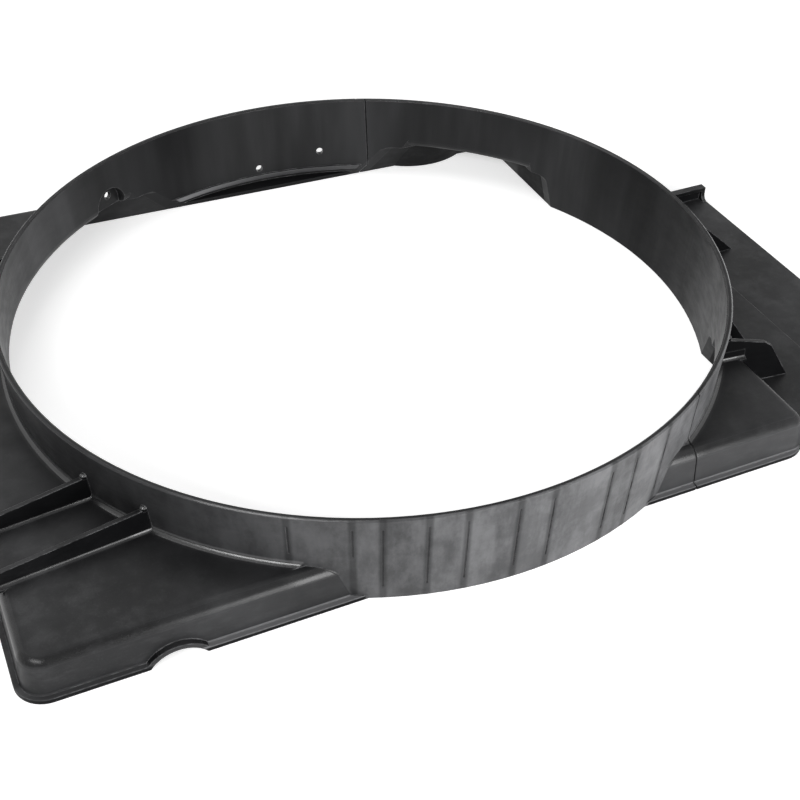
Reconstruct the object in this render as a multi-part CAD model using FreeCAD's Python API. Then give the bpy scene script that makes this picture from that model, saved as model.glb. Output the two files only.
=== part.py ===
import FreeCAD, Part
import math
import os

os.makedirs("parts", exist_ok=True)
V = FreeCAD.Vector
UP = V(0, 0, 1)

# Radiator fan shroud in two mouldings. Millimetres, +Z up.
# Origin: the fan axis, where it meets the face that rests on the radiator.
# +X is to the right and +Y to the far side.

# Fan ring
ring_rim_radius = 245.0
ring_base_radius = 240.0
ring_height = 65.5
ring_wall = 3.8
rim_edge = 1.0

# Box over the radiator core
box_left = 284.0
box_right = 213.5
box_near = 219.0
box_far = 228.0
far_skew = 0.044
deck_height = 27.0
sheet = 3.0
wall_lean = 2.5
far_lean = 8.5
edge_radius = 8.0
corner_radius_left = 14.0
corner_radius_right = 9.0
ring_foot_fillet = 4.5
corner_steps = 5

# Flange round the foot of the box
flange_thickness = 3.0
flange_width = 3.0
flange_corner_radius = 18.0

# Side wing to the right of the box
wing_reach = 329.0
wing_far = 69.0
wing_corner_radius = 2.0
wing_step_inset = 54.0
wing_step = 1.0
wing_lip_height = 11.3
wing_lip_overhang = 6.0
wing_lip_end_inset = 0.5
wing_lip_round = 6.0

# Ribs between the ring and the box, and gussets over the wing
rib_thickness = 3.0
rib_foot_radius = 2.5
rib_knob_radius = 2.2
rib_turn = 0.11
rib_turn_far = 0.07
rib_y_inner = -106.5
rib_y_outer = -146.0
rib_y_far = 142.0
rib_rise_at_ring = 16.5
rib_rise_at_wall = 10.0
gusset_inset = 10.0
gusset_mid_y = -6.0
gusset_mid_rise = 31.5
gusset_mid_reach = 62.0
gusset_inner_rise = 13.5
gusset_inner_reach = 27.0
gusset_outer_rise = 17.0
gusset_outer_knee = (31.0, 8.5)
gusset_outer_shoulder = (36.5, 4.5)
gusset_outer_reach = 54.0

# Far side: a bead over a ledge under the ring, a wave in the wall, a hump in the deck
bead_height = 7.3
bead_width = 3.2
bead_depth = 1.8
bead_half_angle = 22.0
wave_x = 152.0
wave_half_width = 29.0
wave_depth = 8.3
hump_angle = 121.6
hump_half_width = 14.5
hump_rise = 16.0
hump_reach = 4.0

# Near side: arch in the foot of the wall, grooves in the ring
arch_x = -201.5
arch_half_width = 16.0
arch_height = 8.5
groove_angles = [-122.7, -114.4, -110.5, -104.6, -99.5, -92.4, -87.4, -77.9, -73.2, -66.4]
groove_width = 1.0
groove_depth = 0.5
groove_bottom = 10.0
groove_top = 58.0

# Holes
drain_holes = [(120.7, 33.3, 3.2), (88.5, 14.2, 2.75), (76.0, 22.4, 2.75)]
vent_hole_radius = 1.5
vent_hole_y = -163.0
vent_hole_z = 12.0
mount_hole_radius = 3.3
mount_hole_inset = 14.0
ear_reach = 45.0
ear_y = [-60.0, 160.0]
wing_hole_y = [-105.0, -195.0]

# Joint between the two mouldings
split_x_near = 128.0
split_x_far = 89.0
lap_length = 6.0
joint_gap = 0.8
lap_gap = 0.2

# How far a cutting tool runs past what it cuts
spare = 2.0
ring_most = max(ring_base_radius, ring_rim_radius)
ring_least = min(ring_base_radius, ring_rim_radius)
reach = wing_reach + box_left + box_right + ring_most


def slab(x0, x1, y0, y1, z0, z1):
    return Part.makeBox(x1 - x0, y1 - y0, z1 - z0, V(x0, y0, z0))


def face_of(points):
    return Part.Face(Part.makePolygon(points + points[:1]))


def corner_arc(centre, radius, start, turn, u, v):
    # An arc from the angle start, through turn degrees, in the plane of u and v.
    def at(angle):
        a = math.radians(angle)
        return centre + u * (radius * math.cos(a)) + v * (radius * math.sin(a))
    return Part.Arc(at(start), at(start + turn / 2.0), at(start + turn)).toShape()


def rounded_plate(x0, x1, y0, y1, r, height):
    x, y = V(1, 0, 0), V(0, 1, 0)
    edges = [
        Part.makeLine(V(x0 + r, y0, 0), V(x1 - r, y0, 0)),
        corner_arc(V(x1 - r, y0 + r, 0), r, -90, 90, x, y),
        Part.makeLine(V(x1, y0 + r, 0), V(x1, y1 - r, 0)),
        corner_arc(V(x1 - r, y1 - r, 0), r, 0, 90, x, y),
        Part.makeLine(V(x1 - r, y1, 0), V(x0 + r, y1, 0)),
        corner_arc(V(x0 + r, y1 - r, 0), r, 90, 90, x, y),
        Part.makeLine(V(x0, y1 - r, 0), V(x0, y0 + r, 0)),
        corner_arc(V(x0 + r, y0 + r, 0), r, 180, 90, x, y),
    ]
    return Part.Face(Part.Wire(edges)).extrude(V(0, 0, height))


def far_y(x, grow):
    # The far wall is not square to the side walls.
    return box_far + grow * math.hypot(1.0, far_skew) - far_skew * x


def box_corners(grow, z, lean, lean_at_far):
    x0 = -box_left - grow + lean
    x1 = box_right + grow - lean
    y0 = -box_near - grow + lean
    return [V(x0, y0, z), V(x1, y0, z), V(x1, far_y(x1, grow) - lean_at_far, z),
            V(x0, far_y(x0, grow) - lean_at_far, z)]


def block(low, high):
    # A solid between two outlines that have the same number of corners.
    faces = [face_of(low[::-1]), face_of(high)]
    for i in range(len(low)):
        j = (i + 1) % len(low)
        faces.append(face_of([low[i], low[j], high[j], high[i]]))
    solid = Part.Solid(Part.Shell(faces))
    if solid.Volume < 0:
        solid.reverse()
    return solid


def upright_edges(box, side):
    return [e for e in box.Edges
            if len(e.Vertexes) == 2 and side * e.Vertexes[0].Point.x > 0
            and abs(e.Vertexes[0].Point.z - e.Vertexes[1].Point.z) > 1.0]


def leaning_box(grow, z1, rounded=False):
    # The box outline, grown or shrunk, with walls that lean in towards the top.
    share = z1 / deck_height
    box = block(box_corners(grow, 0.0, 0.0, 0.0), box_corners(grow, z1, wall_lean * share, far_lean * share))
    if not rounded:
        return box
    box = box.makeFillet(corner_radius_left + grow, upright_edges(box, -1))
    box = box.makeFillet(corner_radius_right + grow, upright_edges(box, 1))
    top = [e for e in box.Edges if all(abs(v.Point.z - z1) < 0.01 for v in e.Vertexes)]
    return box.makeFillet(edge_radius + grow, top)


def box_flange():
    low = box_corners(flange_width, 0.0, 0.0, 0.0)
    high = box_corners(flange_width, flange_thickness, 0.0, 0.0)
    plate = block(low, high)
    plate = plate.makeFillet(flange_corner_radius, upright_edges(plate, -1))
    return plate.makeFillet(flange_corner_radius, upright_edges(plate, 1))


def ring_outer_at(z):
    return ring_base_radius + (ring_rim_radius - ring_base_radius) * z / ring_height


def ring_x_at(y, z):
    return math.sqrt(ring_outer_at(z) ** 2 - y * y)


def ring_cone(offset, z0, z1):
    return Part.makeCone(ring_outer_at(z0) + offset, ring_outer_at(z1) + offset, z1 - z0, V(0, 0, z0))


def ring_body():
    # The ring's outer cone, eased at the rim.
    z = ring_height - rim_edge
    r = ring_outer_at(z)
    return ring_cone(0.0, 0.0, z).fuse(Part.makeCone(r, r - rim_edge, rim_edge, V(0, 0, z)))


def ring_bore():
    # The space inside the ring, eased at the rim.
    z = ring_height - rim_edge
    r = ring_outer_at(z) - ring_wall
    return ring_cone(-ring_wall, 0.0, z).multiFuse([
        Part.makeCone(r, r + rim_edge, rim_edge, V(0, 0, z)),
        Part.makeCylinder(ring_base_radius - ring_wall, spare, V(0, 0, -spare)),
        Part.makeCylinder(r + rim_edge, spare, V(0, 0, ring_height)),
    ])


def swept_corner(corner_r, corner_z, radius, back):
    # What fills the corner at (corner_r, corner_z) under a round of short cones, swept round
    # the axis. back is how far it runs into the solid on either side of the corner.
    low = corner_z - back
    start = corner_r - back
    points = [V(start, 0, low), V(corner_r + radius, 0, low)]
    for step in range(corner_steps + 1):
        a = math.radians(90.0 * step / corner_steps)
        points.append(V(corner_r + radius - radius * math.sin(a), 0, corner_z + radius - radius * math.cos(a)))
    points.append(V(start, 0, corner_z + radius))
    return face_of(points).revolve(V(0, 0, 0), UP, 360)


def ring_foot():
    # The rounded corner between the ring and the deck, kept on the deck's flat.
    corner = swept_corner(ring_outer_at(deck_height), deck_height, ring_foot_fillet, sheet / 2.0)
    return corner.common(leaning_box(-edge_radius, ring_height))


def bell_mouth():
    # The space that rounds the way from the box into the ring, inside the fillet above.
    radius = ring_foot_fillet + sheet
    z = deck_height - sheet
    corner = swept_corner(ring_outer_at(z + radius) - ring_wall, z, radius, sheet / 2.0)
    return corner.common(leaning_box(-edge_radius - spare, ring_height))


def box_void():
    inner = leaning_box(-sheet, deck_height - sheet, True)
    foot = inner.copy()
    foot.translate(V(0, 0, -spare))
    return inner.fuse(foot)


def wave_cylinder(extra, z0, z1):
    # The far wall bends in round a circle whose centre lies outside the box.
    r = (wave_half_width ** 2 + wave_depth ** 2) / (2.0 * wave_depth)
    centre = V(wave_x, far_y(wave_x, -sheet) - wave_depth + r, z0)
    return Part.makeCylinder(r + extra, z1 - z0, centre)


def wing():
    # A flat plate that starts under the box's right wall and steps down near its end.
    near = -box_near - flange_width
    top = flange_thickness + wing_step
    plate = rounded_plate(0, wing_reach, near, wing_far, wing_corner_radius, top)
    under_box = slab(-spare, box_right - sheet, near - spare, wing_far + spare, -spare, top + spare)
    step = slab(wing_reach - wing_step_inset, wing_reach + spare, near - spare, wing_far + spare,
                flange_thickness, top + spare)
    return plate.cut(under_box).cut(step)


def wing_lip():
    # An upright edge at the wing's far end, turned over at its top and closed at its end,
    # with a hollow round from the closed end down to the wing.
    x0 = box_right - sheet
    x1 = wing_reach - wing_lip_end_inset
    top = flange_thickness + wing_lip_height
    y0 = wing_far - wing_lip_overhang
    r = wing_lip_round
    upright = slab(x0, x1, wing_far - sheet, wing_far, 0, top)
    turned = slab(x0, x1, y0, wing_far, top - sheet, top)
    end = slab(x1 - sheet, x1, y0, wing_far, 0, top)
    foot = slab(x1 - sheet, x1, y0 - r, y0, 0, flange_thickness + r)
    foot = foot.cut(Part.makeCylinder(r, sheet, V(x1 - sheet, y0 - r, flange_thickness + r), V(1, 0, 0)))
    return upright.multiFuse([turned, end, foot])


def ears():
    shapes = []
    for y in ear_y:
        x = -box_left - ear_reach + mount_hole_inset
        shapes.append(Part.makeCylinder(mount_hole_inset, flange_thickness, V(x, y, 0)))
        shapes.append(slab(x, -box_left + sheet, y - mount_hole_inset, y + mount_hole_inset, 0, flange_thickness))
    return shapes


def rib_bar(x, y, turn, length, top_z):
    # A tall bar with a flared foot on the deck, from the ring outwards. turn is dy for each dx.
    side = math.copysign(1.0, x)
    t = rib_thickness / 2.0
    r = rib_foot_radius
    low = deck_height - sheet / 2.0
    across = V(0, 1, 0)
    edges = [
        Part.makeLine(V(0, t + r, low), V(0, t + r, deck_height)),
        corner_arc(V(0, t + r, deck_height + r), r, -90, -90, across, UP),
        Part.makeLine(V(0, t, deck_height + r), V(0, t, top_z)),
        Part.makeLine(V(0, t, top_z), V(0, -t, top_z)),
        Part.makeLine(V(0, -t, top_z), V(0, -t, deck_height + r)),
        corner_arc(V(0, -t - r, deck_height + r), r, 0, -90, across, UP),
        Part.makeLine(V(0, -t - r, deck_height), V(0, -t - r, low)),
        Part.makeLine(V(0, -t - r, low), V(0, t + r, low)),
    ]
    bar = Part.Face(Part.Wire(edges)).extrude(V(length + gusset_inset, 0, 0))
    bar.translate(V(-gusset_inset, 0, 0))
    angle = math.atan2(turn * side, side)
    bar.rotate(V(0, 0, 0), UP, math.degrees(angle))
    bar.translate(V(x, y, 0))
    return bar


def side_view(points, y0, y1):
    # A solid from y0 to y1 with a side view given as (x, z) points.
    return face_of([V(x, y0, z) for x, z in points]).extrude(V(0, y1 - y0, 0))


def rib_knob(x, y, z):
    # The small round stud where a rib's top meets the ring.
    r = rib_knob_radius
    post = Part.makeCylinder(r, r, V(x, y, z - r / 2.0))
    return post.fuse(Part.makeCone(r, r / 2.0, r / 2.0, V(x, y, z + r / 2.0)))


def left_rib(y, turn, knob):
    x_ring = -ring_x_at(y, deck_height)
    x_wall = -box_left + wall_lean
    top = deck_height + rib_rise_at_ring
    wall_top = deck_height + rib_rise_at_wall
    bar = rib_bar(x_ring, y, turn, box_left + x_ring, top + spare)
    low = deck_height - edge_radius
    width = rib_thickness + 2 * rib_foot_radius + abs(turn) * box_left
    under = side_view([(x_ring + 2 * gusset_inset, low), (x_ring + 2 * gusset_inset, top), (x_ring, top),
                       (x_wall, wall_top), (-box_left, wall_top), (-box_left, low)], y - width, y + width)
    rib = bar.common(under).common(leaning_box(0.0, ring_height))
    if not knob:
        return rib
    return rib.fuse(rib_knob(x_ring - rib_knob_radius, y, top))


def gusset(y, turn, rise, slope):
    # A web outside the ring, from its wall down to the wing. Each point of slope is how far
    # it is from the ring and above the deck.
    top = deck_height + rise
    x = ring_x_at(y, top)
    foot = flange_thickness / 2.0
    t = rib_thickness / 2.0
    outline = [(x - gusset_inset, foot), (x - gusset_inset, top), (x, top)]
    outline += [(x + out, deck_height + up) for out, up in slope]
    outline.append((outline[-1][0], foot))
    web = side_view(outline, y - t, y + t)
    web.rotate(V(x, y, 0), UP, math.degrees(math.atan(turn)))
    return web


def right_gussets():
    to_wing = flange_thickness - deck_height
    slope = [gusset_outer_knee, gusset_outer_shoulder, (gusset_outer_reach, to_wing)]
    x = ring_x_at(rib_y_outer, deck_height)
    top = deck_height + gusset_outer_rise
    foot = rib_bar(x, rib_y_outer, -rib_turn, box_right - x, deck_height + gusset_outer_knee[1] - spare)
    knob_x = ring_x_at(rib_y_outer, top) + rib_knob_radius
    return [
        gusset(gusset_mid_y, 0.0, gusset_mid_rise, [(gusset_mid_reach, to_wing)]),
        gusset(rib_y_inner, -rib_turn, gusset_inner_rise, [(gusset_inner_reach, to_wing)]),
        gusset(rib_y_outer, -rib_turn, gusset_outer_rise, slope),
        foot.common(leaning_box(0.0, ring_height)),
        rib_knob(knob_x, rib_y_outer, top),
    ]


def hump(grow):
    # A round-topped hump in the deck, from the ring outwards.
    w = hump_half_width + grow
    top = deck_height + hump_rise + grow
    spring = top - w
    z0 = deck_height - sheet - spare / 2.0
    r0 = ring_base_radius - ring_wall - hump_half_width
    r1 = ring_outer_at(deck_height) + hump_reach + grow
    edges = [
        Part.makeLine(V(r0, -w, z0), V(r0, w, z0)),
        Part.makeLine(V(r0, w, z0), V(r0, w, spring)),
        Part.Arc(V(r0, w, spring), V(r0, 0, top), V(r0, -w, spring)).toShape(),
        Part.makeLine(V(r0, -w, spring), V(r0, -w, z0)),
    ]
    body = Part.Face(Part.Wire(edges)).extrude(V(r1 - r0, 0, 0))
    body.rotate(V(0, 0, 0), UP, hump_angle)
    return body


def drain_hole(angle, z, radius):
    half = ring_most - ring_least + ring_wall + hump_reach + sheet + spare
    tool = Part.makeCylinder(radius, 2.0 * half, V(ring_base_radius - half, 0, z), V(1, 0, 0))
    tool.rotate(V(0, 0, 0), UP, angle)
    return tool


def ledge():
    # What stays of the foot under the ring, beyond the line of the far wall's inside.
    y = box_far - sheet * math.hypot(1.0, far_skew)
    strip = slab(-reach, reach, y, y + reach, -spare, flange_thickness)
    strip.rotate(V(0, y, 0), UP, -math.degrees(math.atan(far_skew)))
    return strip


def wall_bead():
    # A low bead round the inside of the ring's far wall.
    z0 = bead_height - bead_width / 2.0
    z1 = bead_height + bead_width / 2.0
    bead = ring_cone(-ring_wall + bead_depth / 2.0, z0, z1).cut(ring_cone(-ring_wall - bead_depth, z0, z1))
    half = ring_base_radius * math.sin(math.radians(bead_half_angle))
    return bead.common(slab(-half, half, 0, reach, z0, z1)).cut(box_void())


def grooves():
    # Shallow upright lines in the near side of the ring. Those over the deck stop above it.
    strips = []
    for angle in groove_angles:
        over_deck = ring_base_radius * math.sin(math.radians(angle)) > -box_near
        z0 = deck_height + 2.0 * ring_foot_fillet if over_deck else groove_bottom
        shell = ring_cone(spare, z0, groove_top).cut(ring_cone(-groove_depth, z0, groove_top))
        strip = slab(ring_least - spare, ring_most + spare, -groove_width / 2.0, groove_width / 2.0,
                     z0, groove_top)
        strip.rotate(V(0, 0, 0), UP, angle)
        strips.append(shell.common(strip))
    return strips


def arch_cylinder(extra, y0, y1):
    r = (arch_half_width ** 2 + arch_height ** 2) / (2.0 * arch_height)
    return Part.makeCylinder(r + extra, y1 - y0, V(arch_x, y0, arch_height - r), V(0, 1, 0))


def arch_flange():
    # The flange follows the arch over the near wall's foot.
    y = -box_near
    band = arch_cylinder(flange_thickness, y - flange_width, y + sheet)
    width = arch_half_width + flange_thickness
    return band.common(slab(arch_x - width, arch_x + width, y - flange_width, y + sheet, 0, deck_height))


def mount_holes():
    length = flange_thickness + wing_step + 2 * spare
    ear_x = -box_left - ear_reach + mount_hole_inset
    places = [(ear_x, y) for y in ear_y] + [(wing_reach - mount_hole_inset, y) for y in wing_hole_y]
    return [Part.makeCylinder(mount_hole_radius, length, V(x, y, -spare)) for x, y in places]


def shroud():
    body = leaning_box(0.0, deck_height, True).multiFuse(
        [box_flange(), wing(), wing_lip(), arch_flange(), ring_body(), ring_foot(), hump(sheet),
         left_rib(rib_y_inner, rib_turn, True), left_rib(rib_y_outer, rib_turn, True),
         left_rib(rib_y_far, -rib_turn_far, False)] + ears() + right_gussets())
    body = body.cut(box_void().cut(wave_cylinder(0.0, -spare, deck_height)))
    body = body.cut(wave_cylinder(-sheet, -spare, deck_height - sheet))
    body = body.cut(hump(0.0)).cut(bell_mouth())
    body = body.cut(ring_bore().cut(ledge())).fuse(wall_bead())
    tools = [drain_hole(*hole) for hole in drain_holes] + mount_holes() + grooves()
    tools.append(Part.makeCylinder(vent_hole_radius, corner_radius_left,
                                   V(-box_left - spare, vent_hole_y, vent_hole_z), V(1, 0, 0)))
    tools.append(arch_cylinder(0.0, -box_near - flange_width - spare, -box_near + sheet + spare))
    for tool in tools:
        body = body.cut(tool)
    return body


def main_side(gap, lap_end, grow):
    # The main moulding's space: all that is left of the split, with a tongue in the inner
    # half of the ring's wall on either side of the opening.
    top = ring_height + spare
    space = slab(-reach, split_x_near + gap, -reach, 0, -spare, top)
    space = space.fuse(slab(-reach, split_x_far + gap, 0, reach, -spare, top))
    shell = ring_cone(-ring_wall / 2.0 + grow, 0.0, ring_height)
    shell = shell.cut(ring_cone(-ring_wall - bead_depth - spare, 0.0, ring_height))
    tongues = [shell.common(slab(split_x_near - spare, split_x_near + lap_end, -reach, 0, -spare, top)),
               shell.common(slab(split_x_far - spare, split_x_far + lap_end, 0, reach, -spare, top))]
    return space.multiFuse(tongues)


def one_solid(shape):
    solids = sorted(shape.Solids, key=lambda s: s.Volume)
    return solids[-1].removeSplitter()


whole = shroud()
main_shroud = one_solid(whole.common(main_side(0.0, lap_length, -lap_gap)))
right_section = one_solid(whole.cut(main_side(joint_gap, lap_length + joint_gap, 0.0)))

for name, shape in (("main_shroud", main_shroud), ("right_section", right_section)):
    shape.exportStep("parts/" + name + ".step")
    print(name, len(shape.Solids), "solid", round(shape.Volume / 1000.0, 1), "cm3", shape.isValid())
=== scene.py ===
import math
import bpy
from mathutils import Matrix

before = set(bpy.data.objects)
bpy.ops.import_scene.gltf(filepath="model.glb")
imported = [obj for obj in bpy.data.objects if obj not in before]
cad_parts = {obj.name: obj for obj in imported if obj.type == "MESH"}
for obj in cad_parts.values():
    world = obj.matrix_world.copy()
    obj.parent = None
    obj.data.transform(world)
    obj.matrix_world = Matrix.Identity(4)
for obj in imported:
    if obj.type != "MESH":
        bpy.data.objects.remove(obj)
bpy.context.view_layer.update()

from types import SimpleNamespace

import bpy
from mathutils import Matrix, Vector

# Radiator fan shroud. Metres, +Z up; the fan axis meets the floor at the origin.

# Camera
CAMERA_PLACE = (-0.2815, -0.6790, 0.5536)
CAMERA_PITCH = math.radians(39.54)
CAMERA_ROLL = math.radians(0.46)
CAMERA_HEADING = math.radians(24.45)
FOCAL_PIXELS = 1301.2
IMAGE_SIZE = 800.0
SENSOR_MM = 36.0
CENTRE_SHIFT = (0.0012, -0.0002)

# Light, and a floor whose seen glow rises from FLOOR_SEEN to FLOOR_FAR_SEEN over FLOOR_FADE
SKY = 0.22
FLOOR_HALF = 6.0
FLOOR_COLOUR = 0.86
FLOOR_LIFT = 0.42
FLOOR_SEEN = 0.16
FLOOR_FAR_SEEN = 0.80
FLOOR_FADE = (0.9, 2.2)
KEY = {"place": (-0.35, 0.55, 1.5), "size": (1.2, 1.2), "watts": 9.0}
FRONT = {"place": (0.35, -1.25, 0.30), "size": (0.7, 0.7), "watts": 14.0}
STRIP = {"place": (-1.02, -0.91, 1.05), "size": (1.0, 0.25), "watts": 11.0}

# Black moulded plastic, clean, cloudy and dusty
DARK = (0.0035, 0.0036, 0.0040)
MIDDLE = (0.048, 0.0485, 0.0505)
PALE = (0.190, 0.191, 0.197)

# Where a mask begins and is complete. The ring's wall leans, so its middle moves out as it rises.
RING_MIDDLE = 0.2381
RING_DRAFT = 0.0763
RING_HALF_WALL = (0.0023, 0.0029)
RING_FOOT_REACH = (0.251, 0.256)
FACING_OUT = (0.75, 0.95)
UPRIGHT_RISE = (0.25, 0.6)
ROUNDED_FROM = (0.2, 0.35)
ROUNDED_TO = (0.88, 0.97)
NEAR_WALL_Y = (-0.210, -0.206)
FLANGE_TOP = (0.003, 0.004)
WEB_END_Y = (0.16, 0.17)
FAR_SIDE_Y = (0.15, 0.16)
BEAD_INSIDE = (0.2353, 0.2359)
BEAD_FOOT = (0.0042, 0.0050)

# Noises: stretch along x, y and z, then scale, detail and roughness
NOISES = {
    "clouds": ((1.0, 1.0, 1.0), 16.0, 4.0, 0.6),
    "marks": ((1.0, 1.0, 3.0), 60.0, 5.0, 0.65),
    "flecks": ((1.0, 1.0, 1.0), 900.0, 2.0, 0.5),
    "streaks": ((1.0, 1.0, 0.06), 38.0, 4.0, 0.55),
    "fine_streaks": ((1.0, 1.0, 0.05), 160.0, 3.0, 0.6),
    "scuffs": ((1.0, 1.0, 0.6), 52.0, 5.0, 0.7),
    "bands": ((1.0, 1.0, 0.25), 17.0, 3.0, 0.5),
    "wear": ((1.0, 1.0, 1.0), 140.0, 3.0, 0.6),
    "grain": ((1.0, 1.0, 1.0), 1500.0, 3.0, 0.6),
    "waves": ((1.0, 1.0, 1.0), 30.0, 2.0, 0.5),
}

# In the marks below, four numbers are a ramp: where it begins and ends, then its value before and after.

# Cloudy plastic everywhere, with painted light on level faces, darker near the ring, and painted shade on
# ribs
CLOUDS = (0.36, 0.68, 0.0, 0.55)
MARKS = (0.45, 0.75, 0.0, 0.30)
FLECKS = (0.55, 0.8, 0.0, 0.20)
LIT_LEVEL_FACE = (0.8, 0.98, 0.0, 0.20)
BY_RING = (0.25, 0.32, 0.45, 1.0)
WEB_SHADE = 0.75

# Upright streaks on both sides of the ring's wall
STREAKS = (0.35, 0.68, 0.0, 0.7)
FINE_STREAKS = (0.4, 0.75, 0.0, 0.35)

# Dust on the ring's outside and on the near wall, thicker to the right
DUST_BY_X = (-0.24, 0.02, 0.08, 0.72)
DUST_STREAKS = 0.38
DUST_SCUFFS = (0.36, 0.66, 0.0, 0.42)
DUST_LEAST = 0.34
NEAR_WALL_DUST = (-0.20, 0.10, 0.07, 0.15)
# Painted shade: a darker soft band along each groove, where the dust is cut
GROOVE_ANGLES = (-122.7, -114.4, -110.5, -104.6, -99.5, -92.4, -87.4, -77.9, -73.2, -66.4)
GROOVE_SHADE = (math.radians(0.25), math.radians(0.75), 0.45, 1.0)

# The ring's inside: soft bands, darker and duller in a stretch on the right and at one place, lighter at
# the left
INSIDE_BANDS = (0.36, 0.70, 0.0, 0.50)
INSIDE_STREAKS = 0.18
STREAK_POWER = 1.6
INSIDE_LEAST = 0.10
DARKER_RIGHT = (0.222, 0.238, 1.0, 0.5)
DARKER_PLACE_X = -0.08
DARKER_PLACE = (0.01, 0.07, 0.5, 1.0)
LIGHTER_LEFT = (-0.20, -0.14, 0.55, 0.0)

# Pale edges: a painted highlight with some wear, patchy, and none beside the joint on the near side
PALE_EDGE_DOT = (0.80, 0.985, 1.0, 0.0)
PALE_EDGE_PATCHES = (0.38, 0.62, 0.10, 0.75)
NEAR_JOINT_X = 0.128
JOINT_BAND = (0.008, 0.010)
JOINT_FAR_Y = (0.0, 0.1)

# The painted highlight along the near wall's foot, and the bead's painted highlight and the ledge's
# painted shade under the far side
FOOT_HIGHLIGHT_Z = 0.0033
FOOT_HIGHLIGHT = (0.0006, 0.0010, 0.65, 0.0)
FOOT_HIGHLIGHT_BY_X = (-0.215, -0.185, 0.2, 1.0)
BEAD_SHINE = (-0.07, 0.03, 0.9, 0.3)

# Relief of the surface, and its sheen
EDGE_RADIUS = 0.0011
EDGE_SAMPLES = 6
GRAIN_STRENGTH = 0.10
GRAIN_DEPTH = 0.0002
WAVE_STRENGTH = 0.35
WAVE_DEPTH = 0.0006
STREAK_RELIEF = 1.5
PLASTIC_IOR = 1.5
ROUGH_MARKS = (0.3, 0.7, 0.50, 0.38)
ROUNDED_SMOOTHER = 0.45
SHEEN = 0.16
WEB_DULLER = 0.7
ROUNDED_SHEEN = 0.50
POLISH_BY_RING = 0.35
POLISH_BY_NEAR_WALL = (-0.212, -0.206, 0.4, 1.0)
POLISH_BY_HEIGHT = (0.050, 0.056, 1.0, 0.35)

# Edges sharper than this stay crisp
CRISP_ANGLE = math.radians(32.0)


class Nodes:
    """Short names for building one material's nodes."""

    def __init__(self, name):
        self.material = bpy.data.materials.new(name)
        self.material.use_nodes = True
        self.tree = self.material.node_tree
        self.tree.nodes.clear()

    def add(self, kind, **values):
        node = self.tree.nodes.new(kind)
        for key, value in values.items():
            setattr(node, key, value)
        return node

    def join(self, source, target):
        self.tree.links.new(source, target)

    def feed(self, socket, value):
        """A socket takes a number or another node's output."""
        if isinstance(value, (int, float)):
            socket.default_value = value
        else:
            self.join(value, socket)

    def math(self, operation, *values, clamp=False):
        node = self.add("ShaderNodeMath", operation=operation, use_clamp=clamp)
        for socket, value in zip(node.inputs, values):
            self.feed(socket, value)
        return node.outputs[0]

    def times(self, first, *others):
        for other in others:
            first = self.math("MULTIPLY", first, other)
        return first

    def plus(self, first, *others):
        for other in others:
            first = self.math("ADD", first, other)
        return first

    def rest(self, value):
        """What a mask leaves: 1 less the value."""
        return self.math("SUBTRACT", 1.0, value)

    def apart(self, a, b):
        """How far two values are apart."""
        return self.math("ABSOLUTE", self.math("SUBTRACT", a, b))

    def noise(self, vector, scale, detail, roughness):
        node = self.add("ShaderNodeTexNoise")
        node.inputs["Scale"].default_value = scale
        node.inputs["Detail"].default_value = detail
        node.inputs["Roughness"].default_value = roughness
        self.join(vector, node.inputs["Vector"])
        return node.outputs["Fac"]

    def stretch(self, vector, scale):
        node = self.add("ShaderNodeMapping")
        node.inputs["Scale"].default_value = scale
        self.join(vector, node.inputs["Vector"])
        return node.outputs["Vector"]

    def ramp(self, value, low, high, out_low=0.0, out_high=1.0):
        """A smooth step from out_low to out_high, as the value goes from low to high."""
        node = self.add("ShaderNodeMapRange")
        node.interpolation_type = "SMOOTHSTEP"
        node.inputs["From Min"].default_value = low
        node.inputs["From Max"].default_value = high
        node.inputs["To Min"].default_value = out_low
        node.inputs["To Max"].default_value = out_high
        self.join(value, node.inputs["Value"])
        return node.outputs["Result"]

    def dot(self, a, b):
        node = self.add("ShaderNodeVectorMath", operation="DOT_PRODUCT")
        self.join(a, node.inputs[0])
        self.join(b, node.inputs[1])
        return node.outputs["Value"]

    def split(self, vector):
        node = self.add("ShaderNodeSeparateXYZ")
        self.join(vector, node.inputs[0])
        return node.outputs

    def mix(self, factor, a, b):
        node = self.add("ShaderNodeMix", data_type="RGBA")
        self.join(factor, node.inputs[0])
        for socket, colour in ((node.inputs[6], a), (node.inputs[7], b)):
            if isinstance(colour, tuple):
                socket.default_value = (*colour, 1.0)
            else:
                self.join(colour, socket)
        return node.outputs[2]

    def bump(self, height, normal, strength, depth):
        node = self.add("ShaderNodeBump")
        node.inputs["Strength"].default_value = strength
        node.inputs["Distance"].default_value = depth
        self.join(height, node.inputs["Height"])
        self.join(normal, node.inputs["Normal"])
        return node.outputs["Normal"]


def far_from_axis(n, x, y):
    """How far a point is from the fan axis."""
    return n.math("SQRT", n.plus(n.times(x, x), n.times(y, y)))


def read_place(n):
    """Where a point is, how far it is from the fan axis, and which way its face looks."""
    at = SimpleNamespace()
    coordinates = n.add("ShaderNodeTexCoord").outputs
    at.where = coordinates["Object"]
    at.x, at.y, at.z = n.split(at.where)
    at.far = far_from_axis(n, at.x, at.y)
    # A face looks away from the fan axis at 1, and towards it at -1.
    at.outward = n.math("DIVIDE", n.dot(coordinates["Normal"], at.where), at.far)
    at.rise = n.split(coordinates["Normal"])[2]
    return at


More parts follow.
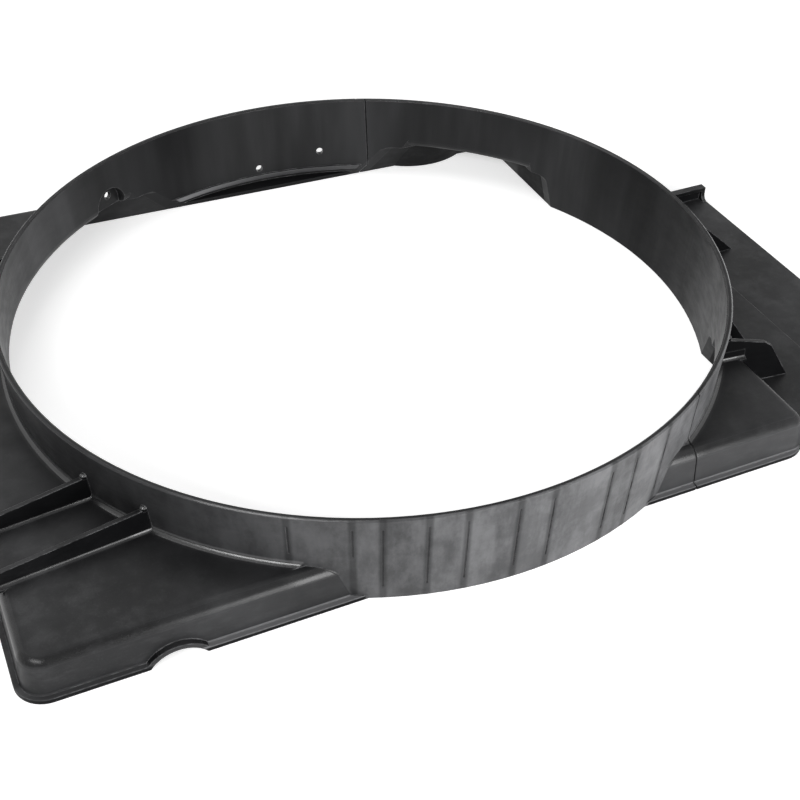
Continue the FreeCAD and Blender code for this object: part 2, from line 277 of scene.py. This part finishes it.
def add_masks(n, at):
    """A mask for each region of the part: 1 in it and 0 outside."""
    middle = n.plus(n.times(at.z, RING_DRAFT), RING_MIDDLE)
    at.ring = n.ramp(n.apart(at.far, middle), *RING_HALF_WALL, 1.0, 0.0)
    at.outer_wall = n.times(at.ring, n.ramp(at.outward, *FACING_OUT))
    at.inner_wall = n.times(at.ring, n.ramp(n.times(at.outward, -1.0), *FACING_OUT))
    upright = n.ramp(n.math("ABSOLUTE", at.rise), *UPRIGHT_RISE, 1.0, 0.0)
    plain_upright = n.times(upright, n.rest(at.ring))
    at.near_side = n.times(n.ramp(at.y, *NEAR_WALL_Y, 1.0, 0.0), n.rest(at.ring))
    at.near_wall = n.times(plain_upright, at.near_side, n.ramp(at.z, *FLANGE_TOP))
    at.web = n.times(n.math("SUBTRACT", plain_upright, at.near_wall), n.ramp(at.y, *WEB_END_Y, 1.0, 0.0))
    at.rounded = n.times(n.ramp(at.rise, *ROUNDED_FROM), n.ramp(at.rise, *ROUNDED_TO, 1.0, 0.0))
    # The ring's inside is at 1, but lower in two stretches where it is darker and duller.
    at.unclean = n.times(n.ramp(at.x, *DARKER_RIGHT), n.ramp(n.apart(at.x, DARKER_PLACE_X), *DARKER_PLACE))
    far_side = n.times(n.ramp(at.far, *BEAD_INSIDE, 1.0, 0.0), n.ramp(at.y, *FAR_SIDE_Y))
    at.bead = n.times(far_side, n.ramp(at.z, *BEAD_FOOT))
    # Painted shade goes on this ledge under the bead.
    at.ledge = n.times(far_side, n.ramp(at.z, *BEAD_FOOT, 1.0, 0.0))


def add_noises(n, at):
    """Each named noise, and the upright streaks that two of them make together."""
    noises = SimpleNamespace()
    for name, (stretch, scale, detail, roughness) in NOISES.items():
        setattr(noises, name, n.noise(n.stretch(at.where, stretch), scale, detail, roughness))
    noises.streaked = n.math("ADD", n.ramp(noises.streaks, *STREAKS),
                             n.ramp(noises.fine_streaks, *FINE_STREAKS), clamp=True)
    return noises


def cloudy_plastic(n, at, noises):
    """The cloudy finish under every other mark, with painted light on level faces and painted shade on
    ribs.
    """
    # Painted light: level faces are lighter.
    tone = n.plus(n.ramp(noises.clouds, *CLOUDS), n.ramp(noises.marks, *MARKS),
                  n.ramp(noises.flecks, *FLECKS), n.ramp(at.rise, *LIT_LEVEL_FACE))
    # Painted shade: the ribs' faces are darker.
    tone = n.times(tone, n.ramp(at.far, *BY_RING), n.rest(n.times(at.web, WEB_SHADE)))
    return n.mix(tone, DARK, MIDDLE)


def shade_along_grooves(n, at):
    """Painted shade in a soft band along each groove of the ring's near side, made by cutting the dust
    there, and 1 away from them.
    """
    angle = n.math("ARCTAN2", at.y, at.x)
    clear = 1.0
    for degrees in GROOVE_ANGLES:
        clear = n.times(n.ramp(n.apart(angle, math.radians(degrees)), *GROOVE_SHADE), clear)
    return clear


def dust_outside(n, at, noises, colour):
    """Pale dust on the ring's outside and on the near wall, cut along the grooves as painted shade."""
    dust = n.plus(n.times(noises.streaked, DUST_STREAKS), n.ramp(noises.scuffs, *DUST_SCUFFS), DUST_LEAST)
    dust = n.times(n.ramp(at.x, *DUST_BY_X), dust, shade_along_grooves(n, at))
    colour = n.mix(n.times(at.outer_wall, dust), colour, PALE)
    return n.mix(n.times(at.near_wall, n.ramp(at.x, *NEAR_WALL_DUST)), colour, PALE)


def band_inside(n, at, noises, colour):
    """Soft bands and streaks on the ring's inside."""
    streaks = n.times(n.math("POWER", noises.streaked, STREAK_POWER), INSIDE_STREAKS)
    inside = n.plus(n.ramp(noises.bands, *INSIDE_BANDS), streaks, INSIDE_LEAST)
    # Darker in two stretches and lighter at the left.
    inside = n.plus(n.times(inside, at.unclean), n.ramp(at.x, *LIGHTER_LEFT))
    return n.mix(at.inner_wall, colour, n.mix(inside, DARK, MIDDLE))


def highlight_and_wear_edges(n, at, noises, bevel, colour):
    """Pale edges, where the bevelled normal leaves the plain one: a painted highlight with some wear."""
    plain = n.add("ShaderNodeNewGeometry").outputs["Normal"]
    # Painted highlight with some wear: pale where the bevel rounds an edge.
    pale_edge = n.ramp(n.dot(plain, bevel), *PALE_EDGE_DOT)
    away_from_joint = n.ramp(n.apart(at.x, NEAR_JOINT_X), *JOINT_BAND)
    kept = n.math("MAXIMUM", away_from_joint, n.ramp(at.y, *JOINT_FAR_Y))
    pale_edge = n.times(pale_edge, n.ramp(noises.wear, *PALE_EDGE_PATCHES), kept, n.rest(at.outer_wall))
    return n.mix(pale_edge, colour, PALE)


def paint_foot_bead_and_ledge_light(n, at, colour):
    """The near wall's painted foot highlight, the bead's painted highlight and the painted shade on the
    ledge under it.
    """
    # Painted highlight along the near wall's foot.
    foot_highlight = n.times(at.near_side, n.ramp(n.apart(at.z, FOOT_HIGHLIGHT_Z), *FOOT_HIGHLIGHT),
                   n.ramp(at.x, *FOOT_HIGHLIGHT_BY_X))
    colour = n.mix(foot_highlight, colour, PALE)
    # Painted shade on the ledge under the bead.
    colour = n.mix(at.ledge, colour, DARK)
    # Painted highlight along the bead.
    return n.mix(n.times(at.bead, n.ramp(at.x, *BEAD_SHINE)), colour, PALE)


def sheen_of(n, at):
    """How strongly a face shines: rounded edges most, ribs and the ring's two darker stretches least."""
    polished = n.times(at.rounded, n.ramp(at.far, *RING_FOOT_REACH, 1.0, POLISH_BY_RING),
                       n.ramp(at.y, *POLISH_BY_NEAR_WALL), n.ramp(at.z, *POLISH_BY_HEIGHT))
    matt = n.times(at.inner_wall, n.rest(at.unclean))
    plain = n.times(n.rest(n.times(at.web, WEB_DULLER)), SHEEN, n.rest(matt))
    return n.plus(n.times(polished, ROUNDED_SHEEN), plain)


def black_plastic(name):
    """Moulded plastic: fine grain, cloudy marks, upright streaks on the ring, painted light and shade, and
    paler edges that are a painted highlight with some wear.
    """
    n = Nodes(name)
    at = read_place(n)
    add_masks(n, at)
    noises = add_noises(n, at)
    rounding = n.add("ShaderNodeBevel", samples=EDGE_SAMPLES)
    rounding.inputs["Radius"].default_value = EDGE_RADIUS
    bevel = rounding.outputs["Normal"]

    colour = cloudy_plastic(n, at, noises)
    colour = dust_outside(n, at, noises, colour)
    colour = band_inside(n, at, noises, colour)
    colour = highlight_and_wear_edges(n, at, noises, bevel, colour)
    colour = paint_foot_bead_and_ledge_light(n, at, colour)

    relief = n.plus(noises.waves, n.times(noises.streaks, at.ring, STREAK_RELIEF))
    normal = n.bump(noises.grain, bevel, GRAIN_STRENGTH, GRAIN_DEPTH)
    normal = n.bump(relief, normal, WAVE_STRENGTH, WAVE_DEPTH)
    roughness = n.times(n.ramp(noises.marks, *ROUGH_MARKS), n.rest(n.times(at.rounded, ROUNDED_SMOOTHER)))

    shader = n.add("ShaderNodeBsdfPrincipled")
    shader.inputs["IOR"].default_value = PLASTIC_IOR
    n.join(colour, shader.inputs["Base Color"])
    n.join(roughness, shader.inputs["Roughness"])
    n.join(normal, shader.inputs["Normal"])
    n.join(sheen_of(n, at), shader.inputs["Specular IOR Level"])
    out = n.add("ShaderNodeOutputMaterial")
    n.join(shader.outputs["BSDF"], out.inputs["Surface"])
    return n.material


def soften(obj):
    """Curved faces shade smoothly, and sharp edges stay crisp."""
    mesh = obj.data
    mesh.polygons.foreach_set("use_smooth", [True] * len(mesh.polygons))
    mesh.set_sharp_from_angle(angle=CRISP_ANGLE)
    mesh.update()


def seen_rays(tree):
    """1 for what the camera sees, directly or in a reflection, and 0 for light on its way to a surface."""
    path = tree.nodes.new("ShaderNodeLightPath")
    total = path.outputs["Is Camera Ray"]
    for name in ("Is Glossy Ray", "Is Transmission Ray"):
        both = tree.nodes.new("ShaderNodeMath")
        both.operation = "MAXIMUM"
        tree.links.new(total, both.inputs[0])
        tree.links.new(path.outputs[name], both.inputs[1])
        total = both.outputs[0]
    return total


def make_floor():
    """A plain white floor that keeps the object's shadow, and fades to the background's white far out."""
    half = FLOOR_HALF
    corners = [(-half, -half, 0), (half, -half, 0), (half, half, 0), (-half, half, 0)]
    mesh = bpy.data.meshes.new("floor")
    mesh.from_pydata(corners, [], [(0, 1, 2, 3)])
    floor = bpy.data.objects.new("floor", mesh)
    bpy.context.scene.collection.objects.link(floor)
    n = Nodes("floor_white")
    diffuse = n.add("ShaderNodeBsdfDiffuse")
    diffuse.inputs["Color"].default_value = (FLOOR_COLOUR, FLOOR_COLOUR, FLOOR_COLOUR, 1.0)
    glow = n.add("ShaderNodeEmission")
    x, y, _ = n.split(n.add("ShaderNodeTexCoord").outputs["Object"])
    seen = n.ramp(far_from_axis(n, x, y), *FLOOR_FADE, FLOOR_SEEN, FLOOR_FAR_SEEN)
    n.join(n.plus(n.times(seen_rays(n.tree), seen), FLOOR_LIFT), glow.inputs["Strength"])
    both = n.add("ShaderNodeAddShader")
    n.join(diffuse.outputs[0], both.inputs[0])
    n.join(glow.outputs[0], both.inputs[1])
    out = n.add("ShaderNodeOutputMaterial")
    n.join(both.outputs[0], out.inputs["Surface"])
    mesh.materials.append(n.material)


def make_world():
    """Soft grey light from all round, behind a background that the camera sees as white."""
    world = bpy.data.worlds.new("studio")
    bpy.context.scene.world = world
    world.use_nodes = True
    tree = world.node_tree
    tree.nodes.clear()
    light = tree.nodes.new("ShaderNodeBackground")
    light.inputs["Strength"].default_value = SKY
    white = tree.nodes.new("ShaderNodeBackground")
    white.inputs["Color"].default_value = (1, 1, 1, 1)
    mix = tree.nodes.new("ShaderNodeMixShader")
    out = tree.nodes.new("ShaderNodeOutputWorld")
    tree.links.new(seen_rays(tree), mix.inputs[0])
    tree.links.new(light.outputs[0], mix.inputs[1])
    tree.links.new(white.outputs[0], mix.inputs[2])
    tree.links.new(mix.outputs[0], out.inputs["Surface"])


def make_lamp(name, place, size, watts):
    """A rectangular lamp that points at the origin."""
    lamp = bpy.data.lights.new(name, "AREA")
    lamp.shape = "RECTANGLE"
    lamp.size, lamp.size_y = size
    lamp.energy = watts
    obj = bpy.data.objects.new(name, lamp)
    bpy.context.scene.collection.objects.link(obj)
    obj.location = place
    obj.rotation_euler = (-Vector(place)).to_track_quat("-Z", "Y").to_euler()


def make_camera():
    """The photo's camera."""
    camera = bpy.data.cameras.new("camera")
    camera.sensor_width = SENSOR_MM
    camera.lens = FOCAL_PIXELS / IMAGE_SIZE * SENSOR_MM
    camera.shift_x, camera.shift_y = CENTRE_SHIFT
    obj = bpy.data.objects.new("camera", camera)
    bpy.context.scene.collection.objects.link(obj)
    turn = (Matrix.Rotation(-CAMERA_HEADING, 4, "Z")
            @ Matrix.Rotation(math.radians(90) - CAMERA_PITCH, 4, "X")
            @ Matrix.Rotation(CAMERA_ROLL, 4, "Z"))
    obj.matrix_world = Matrix.Translation(CAMERA_PLACE) @ turn
    bpy.context.scene.camera = obj


for node_name in ("main_shroud", "right_section"):
    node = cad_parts[node_name]
    soften(node)
    plastic = black_plastic(node_name + "_plastic")
    for slot in node.material_slots:
        slot.material = plastic

make_floor()
make_world()
make_lamp("key", **KEY)
make_lamp("front", **FRONT)
make_lamp("strip", **STRIP)
make_camera()
bpy.context.scene.view_settings.view_transform = "Standard"
